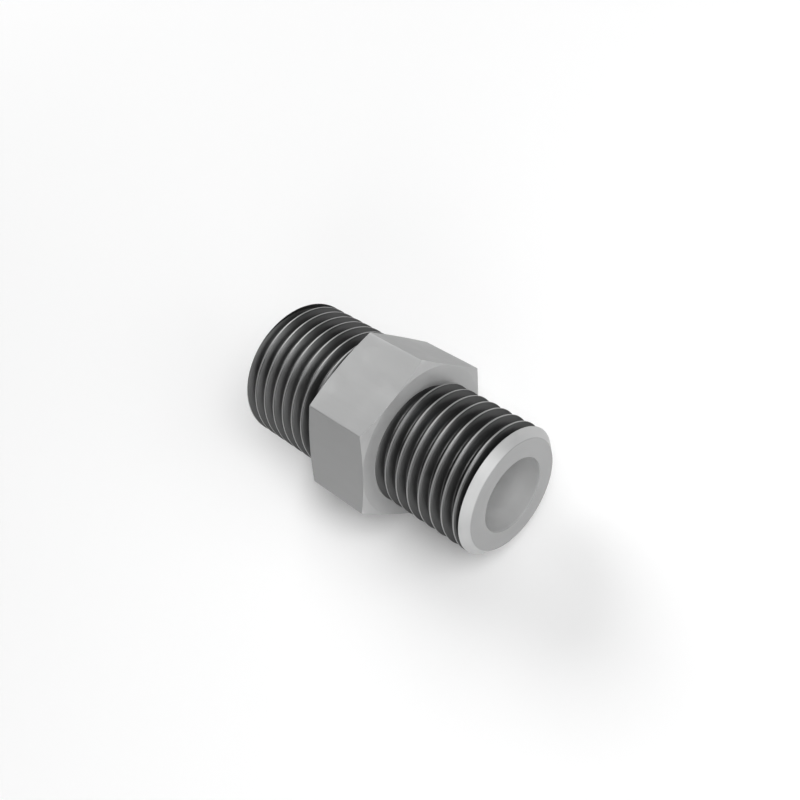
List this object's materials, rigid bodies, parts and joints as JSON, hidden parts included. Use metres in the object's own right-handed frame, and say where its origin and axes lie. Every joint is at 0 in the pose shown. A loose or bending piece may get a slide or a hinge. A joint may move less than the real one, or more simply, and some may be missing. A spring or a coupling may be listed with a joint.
{
  "type": "metric pipe adapter",
  "caption": "One-piece metal pipe adapter with a spanner hexagon in the middle, an outside metric thread of its own size on each end, and a straight bore from end to end.",
  "frame": {"origin": "on the bore's axis, in the middle of the hexagon's width, which is also the middle of the whole length", "axes": "+X along the axis towards the end with the smaller thread, +Z square to the hexagon's top flat, +Y through a corner of the hexagon. The part lies on the lowest flat."},
  "size_m": [0.032, 0.0196, 0.017],
  "materials": {
    "steel": "satin, turned all over, with the drawn skin of the bar on the hexagon's flats"
  },
  "bodies": {
    "root": {"adapter_body": "steel"}
  },
  "joints": []
}
